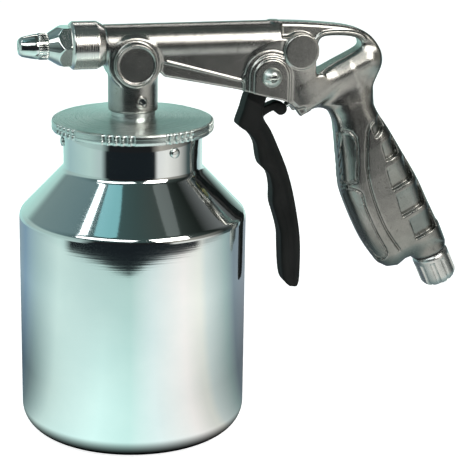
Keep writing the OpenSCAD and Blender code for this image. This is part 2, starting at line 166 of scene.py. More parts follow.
def surface(field, lo, step):
    """Vertices and quads of the field's zero surface, by surface nets."""
    inside = field < 0
    corners = [(i, j, k) for i in (0, 1) for j in (0, 1) for k in (0, 1)]
    nx, ny, nz = (s - 1 for s in field.shape)
    count = np.zeros((nx, ny, nz), np.int8)
    for i, j, k in corners:
        count += inside[i:i + nx, j:j + ny, k:k + nz]
    cells = np.argwhere((count > 0) & (count < 8))
    index = np.full((nx, ny, nz), -1, np.int32)
    index[tuple(cells.T)] = np.arange(len(cells))
    total, hits = np.zeros((len(cells), 3)), np.zeros(len(cells))
    for axis in range(3):
        for c in corners:
            if c[axis]:
                continue
            p = cells + np.array(c)
            q = p.copy()
            q[:, axis] += 1
            fp, fq = field[tuple(p.T)], field[tuple(q.T)]
            crosses = (fp < 0) != (fq < 0)
            t = fp / np.where(crosses, fp - fq, 1)
            at = p + 0.0
            at[:, axis] += t
            total[crosses] += at[crosses]
            hits[crosses] += 1
    verts = (total / hits[:, None]) * step + np.array(lo)
    quads = []
    for axis in range(3):
        u, v = [a for a in range(3) if a != axis]
        if axis == 1:
            u, v = v, u
        low = [slice(None)] * 3
        high = [slice(None)] * 3
        low[axis], high[axis] = slice(0, -1), slice(1, None)
        here, there = inside[tuple(low)], inside[tuple(high)]
        edges = np.argwhere(here != there)
        ok = (edges[:, u] > 0) & (edges[:, v] > 0)
        ok &= (edges[:, u] < field.shape[u] - 1) & (edges[:, v] < field.shape[v] - 1)
        edges = edges[ok]
        ring = []
        for du, dv in ((-1, -1), (0, -1), (0, 0), (-1, 0)):
            c = edges.copy()
            c[:, u] += du
            c[:, v] += dv
            ring.append(index[tuple(c.T)])
        quad = np.stack(ring, 1)
        turned = ~here[tuple(edges.T)]
        quad[turned] = quad[turned][:, ::-1]
        quads.append(quad)
    return verts, np.concatenate(quads)


def grid(lo, hi, step, half_y=False):
    """Grid axes round a box, shaped so that they broadcast together."""
    x = np.arange(lo[0] - 2 * step, hi[0] + 3 * step, step)
    y0 = 0.0 if half_y else lo[1] - 2 * step
    y = np.arange(y0, hi[1] + 3 * step, step)
    z = np.arange(lo[2] - 2 * step, hi[2] + 3 * step, step)
    return x[:, None, None], y[None, :, None], z[None, None, :]


# --- making pieces ----------------------------------------------------------------


def piece(name, verts_mm, faces, body, slot, node=None, smooth_angle=None):
    """A mesh piece in the row frame, from vertices in millimetres."""
    mesh = bpy.data.meshes.new(name)
    verts = np.asarray(verts_mm, float) * MM
    mesh.from_pydata(verts.tolist(), [], [list(map(int, f)) for f in faces])
    mesh.update()
    ob = bpy.data.objects.new(name, mesh)
    bpy.context.scene.collection.objects.link(ob)
    mesh.shade_smooth()
    if smooth_angle is not None:
        mesh.set_sharp_from_angle(angle=math.radians(smooth_angle))
    ob.data.materials.append(MATERIALS[slot]())
    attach(ob, body)
    if node:
        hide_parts(node)
    return ob


def field_piece(name, shape, lo, hi, step, body, slot, node=None, half_y=False):
    """A piece made from a distance field."""
    x, y, z = grid(lo, hi, step, half_y)
    if half_y:
        # The field is even in Y, so half of it is worked out and mirrored
        half = shape(x, y, z)
        half = np.broadcast_to(half, np.broadcast(x, y, z).shape)
        field = np.concatenate([half[:, :0:-1], half], axis=1)
        low = (x[0, 0, 0], -y[0, -1, 0], z[0, 0, 0])
    else:
        field = np.broadcast_to(shape(x, y, z), np.broadcast(x, y, z).shape)
        low = (x[0, 0, 0], y[0, 0, 0], z[0, 0, 0])
    verts, quads = surface(np.ascontiguousarray(field), low, step)
    return piece(name, verts, quads, body, slot, node)


def lathe(profile, n, radius=None):
    """Rings of n points round +Z for a closed loop of (r, z) points.
    radius(ring, angles, r, z) may change each ring's radii."""
    angles = np.arange(n) * 2 * math.pi / n
    verts = []
    for i, (r, z) in enumerate(profile):
        rr = np.full(n, float(r))
        if radius is not None:
            rr = radius(i, angles, rr, z)
        verts.append(np.stack([rr * np.cos(angles), rr * np.sin(angles),
                               np.full(n, float(z))], 1))
    m = len(profile)
    faces = []
    for i in range(m):
        j = (i + 1) % m
        for k in range(n):
            kk = (k + 1) % n
            faces.append((i * n + k, i * n + kk, j * n + kk, j * n + k))
    return np.concatenate(verts), faces


def aim(verts, origin, direction):
    """Moves lathe vertices so that their +Z runs along direction from origin."""
    turn = Vector((0, 0, 1)).rotation_difference(Vector(direction)).to_matrix()
    return verts @ np.array(turn).T + np.array(origin)


# --- materials --------------------------------------------------------------------


class Nodes:
    """Short helpers to build one material."""

    def __init__(self, name):
        self.mat = bpy.data.materials.new(name)
        self.mat.use_nodes = True
        self.tree = self.mat.node_tree
        self.bsdf = self.tree.nodes["Principled BSDF"]
        self.place = self.add("ShaderNodeTexCoord").outputs["Object"]

    def add(self, kind, **settings):
        n = self.tree.nodes.new(kind)
        for key, value in settings.items():
            setattr(n, key, value)
        return n

    def link(self, a, b):
        self.tree.links.new(a, b)

    def put(self, **values):
        for key, value in values.items():
            self.bsdf.inputs[key.replace("_", " ")].default_value = value

    def scaled(self, scale):
        m = self.add("ShaderNodeMapping")
        m.inputs["Scale"].default_value = scale
        self.link(self.place, m.inputs["Vector"])
        return m.outputs["Vector"]

    def noise(self, scale, detail=4, rough=0.5, stretch=None):
        n = self.add("ShaderNodeTexNoise")
        n.inputs["Scale"].default_value = scale
        n.inputs["Detail"].default_value = detail
        n.inputs["Roughness"].default_value = rough
        self.link(self.scaled(stretch) if stretch else self.place, n.inputs["Vector"])
        return n.outputs["Fac"]

    def ramp(self, fac, stops):
        r = self.add("ShaderNodeValToRGB")
        e = r.color_ramp.elements
        while len(e) < len(stops):
            e.new(0.5)
        for el, (at, colour) in zip(e, stops):
            el.position = at
            el.color = (*colour, 1) if len(colour) == 3 else colour
        self.link(fac, r.inputs["Fac"])
        return r.outputs["Color"]

    def span(self, fac, low, high):
        m = self.add("ShaderNodeMapRange")
        m.inputs["To Min"].default_value = low
        m.inputs["To Max"].default_value = high
        self.link(fac, m.inputs["Value"])
        return m.outputs["Result"]

    def maths(self, op, a, b):
        m = self.add("ShaderNodeMath", operation=op)
        for socket, value in zip(m.inputs, (a, b)):
            if isinstance(value, (int, float)):
                socket.default_value = value
            else:
                self.link(value, socket)
        return m.outputs[0]

    def mix(self, fac, a, b, kind="MIX"):
        m = self.add("ShaderNodeMix", data_type="RGBA", blend_type=kind)
        if isinstance(fac, (int, float)):
            m.inputs["Factor"].default_value = fac
        else:
            self.link(fac, m.inputs["Factor"])
        for socket, value in ((m.inputs["A"], a), (m.inputs["B"], b)):
            if isinstance(value, tuple):
                socket.default_value = (*value, 1)
            else:
                self.link(value, socket)
        return m.outputs["Result"]

    def above(self, low, high):
        """0 below one height and 1 above another, in metres."""
        sep = self.add("ShaderNodeSeparateXYZ")
        self.link(self.place, sep.inputs[0])
        m = self.add("ShaderNodeMapRange")
        m.inputs["From Min"].default_value = low
        m.inputs["From Max"].default_value = high
        self.link(sep.outputs["Z"], m.inputs["Value"])
        return m.outputs["Result"]

    def bump(self, height, strength, distance):
        b = self.add("ShaderNodeBump")
        b.inputs["Strength"].default_value = strength
        b.inputs["Distance"].default_value = distance
        self.link(height, b.inputs["Height"])
        self.link(b.outputs["Normal"], self.bsdf.inputs["Normal"])

    def colour(self, output):
        self.link(output, self.bsdf.inputs["Base Color"])

    def rough(self, output):
        self.link(output, self.bsdf.inputs["Roughness"])


_made = {}


def once(make):
    """Each material is made the first time that it is asked for."""
    def get():
        if make.__name__ not in _made:
            _made[make.__name__] = make()
        return _made[make.__name__]
    return get


@once
def cup_metal():
    """Spun and polished aluminium, with fine lines round the axis."""
    m = Nodes("cup_metal")
    m.put(Metallic=1.0, Anisotropic=0.35)
    lines = m.noise(1.0, 3, 0.6, (5, 5, 900))
    rings = m.noise(1.0, 2, 0.5, (9, 9, 420))
    soft = m.noise(38, 3)
    m.colour(m.ramp(soft, [(0.3, (0.86, 0.90, 0.90)), (0.7, (0.93, 0.945, 0.94))]))
    m.rough(m.span(lines, 0.04, 0.09))
    m.bump(m.mix(m.above(0.112, 0.118), lines, rings), 0.05, 0.00012)
    return m.mat


@once
def lid_metal():
    """Turned lid, satin with circular lines."""
    m = Nodes("lid_metal")
    m.put(Metallic=1.0, Anisotropic=0.6)
    sep = m.add("ShaderNodeSeparateXYZ")
    m.link(m.place, sep.inputs[0])
    r = m.maths("SQRT", m.maths("ADD", m.maths("MULTIPLY", sep.outputs[0], sep.outputs[0]),
                                m.maths("MULTIPLY", sep.outputs[1], sep.outputs[1])), 0)
    ring = m.add("ShaderNodeTexNoise", noise_dimensions="1D")
    ring.inputs["Scale"].default_value = 3600
    ring.inputs["Detail"].default_value = 2
    m.link(r, ring.inputs["W"])
    lines = ring.outputs["Fac"]
    blotch = m.noise(60, 4)
    m.colour(m.ramp(blotch, [(0.3, (0.66, 0.74, 0.72)), (0.7, (0.76, 0.82, 0.80))]))
    m.rough(m.span(lines, 0.22, 0.33))
    m.bump(lines, 0.12, 0.0001)
    return m.mat


@once
def cast_metal():
    """Plated die casting: satin, with a fine grain and small pits."""
    m = Nodes("cast_metal")
    m.put(Metallic=1.0)
    grain = m.noise(2300, 5, 0.62)
    blotch = m.noise(95, 4)
    pits = m.noise(700, 3)
    tone = m.ramp(blotch, [(0.30, (0.40, 0.40, 0.38)), (0.70, (0.52, 0.51, 0.485))])
    tone = m.mix(m.ramp(pits, [(0.30, (0.5, 0.5, 0.5)), (0.38, (0, 0, 0))]),
                 tone, (0.28, 0.265, 0.245))
    # Painted shade: below about 0.15 m, over the handle, the tone is darkened to about two thirds
    painted_shade_low = m.mix(1.0, tone, (0.66, 0.67, 0.67), "MULTIPLY")
    m.colour(m.mix(m.above(0.146, 0.17), painted_shade_low, tone))
    m.rough(m.span(grain, 0.19, 0.31))
    m.bump(m.mix(0.35, grain, pits), 0.42, 0.00014)
    return m.mat


@once
def turned_metal():
    """Bright turned brass, chromed, with lines round the spray axis."""
    m = Nodes("turned_metal")
    m.put(Metallic=1.0)
    lines = m.noise(1.0, 3, 0.6, (5200, 8, 8))
    m.colour(m.ramp(lines, [(0.3, (0.74, 0.72, 0.69)), (0.7, (0.86, 0.85, 0.82))]))
    m.rough(m.span(lines, 0.14, 0.30))
    m.bump(lines, 0.14, 0.00008)
    return m.mat


@once
def bright_metal():
    """Polished nickel of the nozzle."""
    m = Nodes("bright_metal")
    m.put(Metallic=1.0)
    haze = m.noise(260, 4)
    m.colour(m.ramp(haze, [(0.3, (0.78, 0.80, 0.78)), (0.7, (0.88, 0.89, 0.87))]))
    m.rough(m.span(haze, 0.07, 0.16))
    m.bump(m.noise(900, 3), 0.04, 0.0001)
    return m.mat


@once
def inlet_metal():
    """Satin plated connector."""
    m = Nodes("inlet_metal")
    m.put(Metallic=1.0)
    grain = m.noise(1500, 4)
    blotch = m.noise(120, 3)
    m.colour(m.ramp(blotch, [(0.3, (0.60, 0.61, 0.60)), (0.7, (0.74, 0.745, 0.73))]))
    m.rough(m.span(grain, 0.2, 0.36))
    m.bump(grain, 0.12, 0.0001)
    return m.mat


@once
def screw_steel():
    m = Nodes("screw_steel")
    m.put(Metallic=1.0)
    haze = m.noise(420, 4)
    m.colour(m.ramp(haze, [(0.3, (0.70, 0.73, 0.72)), (0.7, (0.84, 0.86, 0.85))]))
    m.rough(m.span(haze, 0.1, 0.24))
    m.bump(m.noise(1300, 3), 0.06, 0.0001)
    return m.mat


@once
def screw_head():
    """Zinc-plated head, satin from handling."""
    m = Nodes("screw_head")
    m.put(Metallic=1.0)
    haze = m.noise(600, 4)
    m.colour(m.ramp(haze, [(0.3, (0.62, 0.67, 0.64)), (0.7, (0.78, 0.82, 0.79))]))
    m.rough(m.span(haze, 0.26, 0.4))
    m.bump(m.noise(1500, 3), 0.06, 0.0001)
    return m.mat


@once
def brass():
    m = Nodes("brass")
    m.put(Metallic=1.0)
    haze = m.noise(420, 4)
    m.colour(m.ramp(haze, [(0.3, (0.66, 0.50, 0.24)), (0.7, (0.80, 0.64, 0.34))]))
    m.rough(m.span(haze, 0.2, 0.38))
    m.bump(m.noise(1300, 3), 0.08, 0.0001)
    return m.mat


@once
def black_rubber():
    m = Nodes("black_rubber")
    grain = m.noise(1700, 4)
    m.colour(m.ramp(m.noise(160, 3), [(0.3, (0.012, 0.012, 0.012)), (0.7, (0.03, 0.03, 0.03))]))
    m.rough(m.span(grain, 0.6, 0.85))
    m.bump(grain, 0.2, 0.0001)
    return m.mat


@once
def black_plastic():
    """Moulded plastic with a fine spark texture, worn a little smoother in places."""
    m = Nodes("black_plastic")
    m.put(Specular_IOR_Level=0.16)
    grain = m.noise(2600, 4, 0.6)
    wear = m.noise(70, 4)
    m.colour(m.ramp(wear, [(0.3, (0.004, 0.005, 0.005)), (0.7, (0.009, 0.010, 0.010))]))
    m.rough(m.span(wear, 0.48, 0.66))
    m.bump(grain, 0.25, 0.00012)
    return m.mat


MATERIALS = {"cup": cup_metal, "lid": lid_metal, "cast": cast_metal, "turned": turned_metal,
             "bright": bright_metal, "inlet": inlet_metal, "steel": screw_steel,
             "screw": screw_head, "brass": brass, "rubber": black_rubber, "plastic": black_plastic}
NODE_LOOKS = {"cup_metal": "cup", "lid_metal": "lid", "cast_metal": "cast",
              "turned_metal": "bright", "inlet_metal": "inlet", "screw_steel": "steel",
              "brass": "brass", "black_rubber": "rubber", "black_plastic": "plastic"}


def dress_nodes():
    """Gives each CAD node the detailed material of its slot."""
    for sub in frame["record"]["subparts"]:
        ob = frame["nodes"][sub["node"]]
        look = MATERIALS[NODE_LOOKS[sub["material_slot"]]]()
        for s in ob.material_slots:
            s.material = look
        if not ob.material_slots:
            ob.data.materials.append(look)


# --- gun body ----------------------------------------------------------------------

WEB_EDGE = [(9, 178), (13.5, 173), (33, 169), (52, 165), (62, 162.3), (70.6, 160.2),
            (74.4, 158.1), (77.6, 155.3), (80.2, 151.8)]
EYE_EDGE = [(66, 197.0), (80, 196.4), (92, 195.4), (104, 193.8), (112, 191.2), (117.4, 187),
            (120.8, 181.5), (121.4, 175.6), (119.6, 169.5), (117.4, 163.5), (117.4, 157)]
EYE_HOLE = [(88.0, 171.8), (88.5, 179), (89.0, 185), (90.6, 188.4), (95, 189.4), (104, 189.0),
            (109.4, 187.4), (110.8, 185), (109.2, 182.4), (98, 176.7)]
HANDLE_FRONT = [(96.0, 152.6), (98.8, 147), (100.2, 137.3), (101.4, 128.2), (103.2, 114),
                (107, 103.5), (112.9, 90.8), (118, 82.2), (124.2, 74)]
HANDLE_BACK = [(158.6, 84.4), (155.4, 92.4), (148.7, 105.4), (142.2, 118.1), (134.3, 130.7),
               (126.4, 143.2), (121.3, 150.4), (118.4, 156.6), (117.8, 162)]
# Half widths of the handle against height, measured along its slanted rings
HANDLE_WIDTH = [(61, 9.0), (75, 10.2), (86, 10.8), (100, 11.2), (113, 11.2), (128, 10.6),
                (143, 9.4), (152, 8.4), (161, 7.0), (172, 6.0)]
GRIP_LIPS = [((118.1, 139.5), (122.6, 144.6)), ((123.8, 128.2), (130.4, 131.6)),
             ((127.6, 113.0), (138.6, 119.0)), ((133.4, 99.3), (145.8, 105.9)),
             ((141.4, 87.2), (152.4, 92.8))]
GRIP_RISE = [(-2.6, 6.0), (-3.2, 8.6), (-4.0, 11.4), (-4.3, 11.6), (-4.6, 10.6)]
PANEL_TOP = [(100.6, 141.4), (107.9, 140.2), (108.8, 121), (107.2, 118.0), (102.3, 118.0)]
PANEL_LOW = [(103.0, 113.7), (110.9, 113.2), (113.4, 106), (117.2, 97.6), (121.6, 89.4),
             (126.4, 81), (124.6, 77.0), (121, 78.4), (114, 87.6), (108.2, 98.4)]
GROOVE = [(116.6, 147.8), (114.2, 144.8), (113.3, 136), (114.2, 122), (118, 108.8),
          (123.6, 96), (128.2, 88.6), (133, 82.2)]
VALVE_TIP = np.array([74.6, 0, 155.8])
SLOT_Y = 5.2
PIVOT_X, PIVOT_Z = PIVOT[0], PIVOT[2]
BOSS = (79.2, 183.4)
MEDAL = (-0.7, 179.8)
BARREL_R, STEM_R, HOUSING_R = 9.4, 11.7, 7.9
VALVE_BORE_R, INLET_BORE_R, TUBE_BORE_R, PIVOT_BORE_R = 5.5, 6.65, 4.1, 2.6
GRUB = (1.9, 162.2)
STRUT_LOW, STRUT_HIGH, STRUT_R = np.array((88, 164.4)), np.array((114, 176.4)), 7.9
STRUT_DIR = (STRUT_HIGH - STRUT_LOW) / np.linalg.norm(STRUT_HIGH - STRUT_LOW)
HEAD_HALF = 10.4


def disc(x, y, z, at, r, half, ease=0.5):
    """A disc across the gun, centred on Y = 0."""
    return plate(np.hypot(x - at[0], z - at[1]) - r, y, half, ease)


def hood(x, z, r):
    """An arch outline over the pivot, open downwards."""
    side = np.abs(x - PIVOT_X) - r
    return np.where(z > PIVOT_Z, np.hypot(x - PIVOT_X, z - PIVOT_Z) - r, side + 0 * z)


def strut_taper(x, z):
    """Distance along the strut, how far it has turned round, and its half width there."""
    along = (x - STRUT_LOW[0]) * STRUT_DIR[0] + (z - STRUT_LOW[1]) * STRUT_DIR[1]
    t = np.clip((along + 7) / 20, 0, 1)
    t = t * t * (3 - 2 * t)
    return along, t, HEAD_HALF - (HEAD_HALF - STRUT_R) * t


def strut_field(x, y, z):
    """Bar from the head up to the eye: flat-sided at its root, round where it ends."""
    low, unit, r = STRUT_LOW, STRUT_DIR, STRUT_R
    across = (z - low[1]) * unit[0] - (x - low[0]) * unit[1]
    along, t, half = strut_taper(x, z)
    power = 6 - 4 * t
    flat = (((np.abs(across) / r) ** power + (np.abs(y) / half) ** power) ** (1 / power) - 1) * r
    flat = np.maximum(flat, -9 - along)
    round_bar = capsule(x, y, z, (low[0], 0, low[1]),
                        (STRUT_HIGH[0], 0, STRUT_HIGH[1]), r)
    return np.where(along > 16, round_bar, flat)


def gun_field(x, y, z):
    web_line = curve(WEB_EDGE[:2], 1) + curve(WEB_EDGE[2:], 3)
    web_flat = polygon(x, z, web_line + [(90, 160), (84, 190), (9, 188)])
    below = 0.968 * (z - 172) + 0.25 * (x - 44.3) + 0.3
    web = join(plate(web_flat, y, 7.9, 0.9), plate(np.maximum(web_flat, -below), y, 8.8, 0.5), 0.3)
    barrel = rod(x, y, z, (-14.5, 0, BARREL_Z), (70, 0, BARREL_Z), BARREL_R, 0.9)
    f = join(web, barrel, 0.9)
    # Bead along the web's lower edge, turning up before the pivot
    bead = path_distance(x, z, [(14.5, 180.3), (44.3, 172), (49.4, 170.5), (50.7, 170.6),
                                (51.6, 173)]) - 0.42
    f = join(f, plate(bead, y, 9.3, 0.3), 0.2)
    # Stem and medallion
    stem = rod(x, y, z, (0, 0, 156.5), (0, 0, 184), STEM_R, 0.9)
    medal = join(disc(x, y, z, MEDAL, 12.4, 9.3, 0.8), disc(x, y, z, MEDAL, 9.8, 13, 0.35), 0.8)
    f = join(f, join(stem, medal, 1.0), 1.4)
    # Head: cheeks, valve housing, eye, strut
    low_edge = curve(WEB_EDGE[3:], 3)
    cheek = plate(polygon(x, z, low_edge + [
        (84.5, 154.5), (86.5, 160), (87, 168), (87, 176), (86.5, 184), (80, 190), (66, 189),
        (56, 183.5), (52.6, 177), (51.4, 170)]), y, 9.1, 0.7)
    end = VALVE_TIP + VALVE_DIR * 4
    housing = rod(x, y, z, end, VALVE_TIP + VALVE_DIR * 36, HOUSING_R, 0.8)
    eye_flat = polygon(x, z, curve(EYE_EDGE, 4) + [(108, 150), (92, 156), (70, 170)])
    eye_frame = plate(eye_flat, y, 5.0, 2.2)
    strut = strut_field(x, y, z)
    # Handle
    outline = polygon(x, z, curve(HANDLE_FRONT, 4) + [(128.8, 71.6), (134.5, 72.0),
                      (138.4, 75.2), (146, 78)] + curve(HANDLE_BACK, 4)
                      + [(114, 170), (106, 170), (98, 163), (93, 156)])
    rise = z - 0.42 * (x - 100)
    wide = np.interp(rise, [h for h, w in HANDLE_WIDTH], [w for h, w in HANDLE_WIDTH])
    handle = plate(outline, y * 10 / wide, 10.0, 8.6)
    handle = join(handle, rod(x, y, z, INLET_FACE - INLET_DIR * 13, INLET_FACE, 9.4, 0.6), 2.5)
    grip = join(join(housing, strut, 2), handle, 7)
    f = join(f, join(eye_frame, grip, 2.5), 1.5)
    f = join(f, cheek, 1.2)
    # Hooded steps over the pivot, the flat plate beside them and the round pad
    above = polygon(x, z, low_edge + [(84, 160), (84, 190), (48, 190), (48, 160)])
    f = join(f, plate(np.maximum(hood(x, z, 12.7), above), y, 9.7, 0.5), 0.5)
    f = join(f, plate(np.maximum(hood(x, z, 10.6), above), y, 10.5, 0.45), 0.4)
    flat = polygon(x, z, [(57.4, 165.6), (64, 163.6), (70.6, 161.4), (75.2, 158.6), (78.4, 155.6),
                          (84, 157), (93, 163), (95.5, 167), (92, 171.5), (87, 174), (84, 180),
                          (72, 182), (64, 180)])
    half = strut_taper(x, z)[2]
    f = join(f, plate(flat, y * HEAD_HALF / half, HEAD_HALF, 1.4), 0.4)
    f = join(f, plate(np.maximum(hood(x, z, 8.6), above), y, 11.3, 0.45), 0.4)
    pad = np.hypot(x - BOSS[0], z - BOSS[1]) - 8.5
    f = join(f, plate(pad, y, 11.3, 0.5), 0.5)
    # Rim round the eye
    hole = polygon(x, z, curve(EYE_HOLE, 4, True))
    rim = np.abs(hole - 1.9) - 0.7
    f = join(f, plate(np.maximum(rim, 180 - z + 0.3 * (x - 90)), y, 6.0, 0.6), 0.7)
    f = cut(f, hole, 1.6)
    f = handle_detail(f, handle, x, y, z)
    return openings(f, x, y, z)


def handle_detail(f, handle, x, y, z):
    """Panels, groove and finger-wide pockets on the sides of the handle."""
    away = 3.0 - np.abs(y)
    # Two framed panels along the front, sunk a little
    for panel in (PANEL_TOP, PANEL_LOW):
        flat = polygon(x, z, curve(panel, 3, True))
        f = cut(f, np.maximum(np.maximum(np.abs(flat) - 0.4, -handle - 0.9), away), 0.3)
        f = cut(f, np.maximum(np.maximum(flat + 0.9, -handle - 0.45), away), 0.3)
    groove = path_distance(x, z, curve(GROOVE, 4)) - 0.45
    f = cut(f, np.maximum(np.maximum(groove, -handle - 1.0), away), 0.4)
    # Stepped pockets along the back: each one ends in a lip and stops short of the spine
    for (low, high), rise in zip(GRIP_LIPS, GRIP_RISE):
        low, high, rise = np.array(low), np.array(high), np.array(rise)
        flat = polygon(x, z, [tuple(low), tuple(high), tuple(high + rise), tuple(low + rise)])
        along = (high - low) / np.linalg.norm(high - low)
        up = np.array((-along[1], along[0]))
        height = ((x - low[0]) * up[0] + (z - low[1]) * up[1]) / (rise @ up)
        depth = 2.3 * np.clip(1.02 - height, 0, 1) ** 0.8
        f = cut(f, np.maximum(np.maximum(flat, -handle - depth), 4.4 - np.abs(y)), 0.3)
    return f


def openings(f, x, y, z):
    """Trigger slot, valve chamber, thread holes, the tube bore up the stem and the sunk face of the medallion."""
    slot = polygon(x, z, [(55.5, 171.6), (51.4, 162), (49, 140), (90, 140), (83.4, 151.2),
                          (76.6, 165.2), (74, 171.6)])
    f = cut(f, np.maximum(slot, np.abs(y) - SLOT_Y), 0.3)
    f = cut(f, disc(x, y, z, (PIVOT_X, PIVOT_Z), 9.4, SLOT_Y, 0.1), 0.3)
    f = cut(f, rod(x, y, z, VALVE_TIP + VALVE_DIR * 3.5, VALVE_TIP + VALVE_DIR * 34,
                   VALVE_BORE_R, 0.1), 0.4)
    f = cut(f, np.hypot(x - PIVOT_X, z - PIVOT_Z) - PIVOT_BORE_R + 0 * y, 0.2)
    f = cut(f, rod(x, y, z, INLET_FACE - INLET_DIR * 12, INLET_FACE + INLET_DIR * 4,
                   INLET_BORE_R, 0.1), 0.3)
    f = cut(f, rod(x, y, z, (0, 0, 150), (0, 0, 172), TUBE_BORE_R, 0.1), 0.3)
    grub = np.hypot(x - GRUB[0], z - GRUB[1])
    f = join(f, np.maximum(np.abs(grub - 2.05) - 0.3, np.abs(np.abs(y) - 11.4) - 0.65), 0.2)
    f = cut(f, np.maximum(grub - 1.6, np.abs(np.abs(y) - 8.6) - 4.4), 0.15)
    return cut(f, disc(x, y - 26, z, MEDAL, 8.7, 13.7, 0.3), 0.3)


def make_gun():
    step = 0.5
    return field_piece("gun_casting", gun_field, gun_lo, gun_hi, step, "gun", "cast",
                       "gun_body", half_y=True)


# --- trigger -------------------------------------------------------------------------

TRIGGER_FRONT = [(54.6, 161.6), (52.6, 155.2), (50.4, 148.8), (51, 146.9), (56.1, 143.1),
                 (59.5, 137.8), (60.7, 131.2), (62.2, 126.8), (66.2, 122.7), (67.9, 115.6),
                 (68.1, 108.1), (70.3, 100.8), (72.4, 92.7), (72.9, 84), (73.5, 75.1),
                 (74.8, 68.5), (77.9, 65.2)]
TRIGGER_BACK = [(81.4, 64.8), (82.6, 68.1), (82.9, 80), (82.5, 89.9), (80.9, 100.9),
                (78.1, 114.4), (74.7, 125.8), (70.4, 136.1), (66.6, 144.5), (62.9, 150.4),
                (62.1, 154.4), (62.6, 157.4)]


def trigger_field(x, y, z):
    outline = polygon(x, z, curve(TRIGGER_FRONT, 3) + curve(TRIGGER_BACK, 3))
    f = plate(outline, y, 5.95, 1.8)
    tongue = polygon(x, z, [(57, 169), (54.6, 161.6), (53.4, 157), (62.1, 155), (64.4, 161.6),
                            (69, 166)])
    f = join(f, plate(tongue, y, SLOT_Y - 0.45, 0.5), 0.8)
    f = join(f, disc(x, y, z, (PIVOT_X, PIVOT_Z), 7.9, SLOT_Y - 0.45, 0.5), 0.5)
    arm = polygon(x, z, curve([(62, 150.4), (66, 153), (69, 153.8), (71, 151.8)], 3)
                  + curve([(72.4, 157), (69, 158.2), (62.2, 155.4)], 3))
    f = join(f, plate(arm, y, 3.5, 0.9), 1.0)
    nose = VALVE_TIP - VALVE_DIR * 3.1
    f = join(f, disc(x, y, z, (nose[0], nose[2]), 2.95, 3.5, 0.6), 0.8)
    # Shallow channel down each side
    channel = polygon(x, z, curve(TRIGGER_FRONT[3:], 3) + curve(TRIGGER_BACK[:-2], 3)) + 3.6
    f = cut(f, np.maximum(channel, 5.3 - np.abs(y)), 0.8)
    return cut(f, np.hypot(x - PIVOT_X, z - PIVOT_Z) - 2.55 + 0 * y, 0.2)


def make_trigger():
    lo, hi = box_mm("trigger")
    return field_piece("trigger_lever", trigger_field, lo, hi, 0.55, "trigger", "plastic",
                       "trigger", half_y=True)


# --- cup and lid ------------------------------------------------------------------------

NECK_R = 32.8
PIN_Z = 142
LID_RIM_Z = 152.5


def arc(cx, cz, r, a0, a1, n):
    """Points of an arc, angles in degrees from +X towards +Z."""
    return [(cx + r * math.cos(math.radians(a0 + (a1 - a0) * i / n)),
             cz + r * math.sin(math.radians(a0 + (a1 - a0) * i / n))) for i in range(n + 1)]


def make_cup():
    rim = cup_hi[2]
    outside = ([(0.01, 0.6), (30, 0.6), (31, 0), (40, 0)] + arc(CUP_R - 12, 12, 12, -82, 0, 18)
               + [(CUP_R, 40), (CUP_R, 80)]
               + arc(CUP_R - 5, 105.5, 5, 0, 48, 12)
               + arc(NECK_R + 4.5, 131.5, 4.5, 228, 184, 10)
               + [(NECK_R, 134), (NECK_R, 141), (NECK_R, rim - 0.4), (NECK_R - 0.2, rim - 0.1)])
    inside = [(31.5, rim - 0.1), (31.2, rim - 0.4), (31.2, 134), (31.2, 131), (34.6, 126),
              (51.5, 107.5), (52.2, 104.5), (52.2, 60), (52.2, 16), (50, 8), (42, 2.6),
              (0.01, 2.6)]
    verts, faces = lathe(outside + inside, 256)
    return piece("cup_shell", verts, faces, "cup", "cup", "cup", 50)


def make_lid():
    """Lid turned to shape, its rim in groups of grips with plain lands between them."""
    top, low = lid_hi[2], lid_lo[2]
    z_rim = LID_RIM_Z
    profile = ([(4.25, top), (9, top)] + [(9 + 27 * t, top - 1.85 * t ** 1.1)
               for t in (0.25, 0.5, 0.75, 1.0)]
               + [(LID_R - 0.9, z_rim), (LID_R - 0.25, z_rim - 0.3), (LID_R, z_rim - 0.9),
                  (LID_R, z_rim - 1.9), (LID_R - 0.35, z_rim - 2.2), (LID_R - 0.35, z_rim - 3.0),
                  (LID_R, z_rim - 3.3), (LID_R, z_rim - 4.3), (LID_R - 0.5, z_rim - 5),
                  (34.2, z_rim - 5), (34, z_rim - 4.8), (34, 150.1), (28.6, 150.1),
                  (28.6, low + 0.2), (28.4, low), (26.8, low), (26.6, low + 0.2),
                  (26.6, 149.8), (4.25, 149.8)])
    n = 1440

    def radius(i, angles, r, z):
        if not (r[0] > LID_R - 1.3 and z < z_rim + 0.1):
            return r
        deg = np.degrees(angles)
        local = (deg - 23.5 + 22.5) % 45 - 22.5
        grip = np.abs((local + 2.5) % 5 - 2.5)
        notch = np.clip(1 - (grip / 1.9) ** 2, 0, 1) * (np.abs(local) < 12.4)
        cut_depth = 0.85 if r[0] > LID_R - 0.6 else 0.45
        return r - cut_depth * np.sqrt(notch)

    verts, faces = lathe(profile, n, radius)
    return piece("lid_plate", verts, faces, "gun", "lid", "lid", 40)


def make_bayonet_pins():
    """Domed heads of the three pins in the neck."""
    for k, deg in enumerate((-66, 54, 174)):
        profile = ([(0.01, 29), (1.5, 29), (1.74, 29.2), (1.74, 32.9), (2.4, 32.95), (2.5, 33.1),
                    (2.5, 33.4)] + [(2.5 * math.cos(a), 33.4 + 0.85 * math.sin(a))
                                    for a in (0.3, 0.6, 0.9, 1.2)] + [(0.01, 34.25)])
        verts, faces = lathe(profile, 40)
        d = (math.cos(math.radians(deg)), math.sin(math.radians(deg)), 0)
        piece(f"bayonet_pin_{k + 1}", aim(verts, (0, 0, PIN_Z), d), faces, "cup", "steel",
              "cup_pins", 40)


# --- nozzle -------------------------------------------------------------------------------


def along_x(verts):
    """Lathe vertices turned so that their +Z runs towards the front, on the spray axis."""
    return aim(verts, (0, 0, BARREL_Z), (-1, 0, 0))


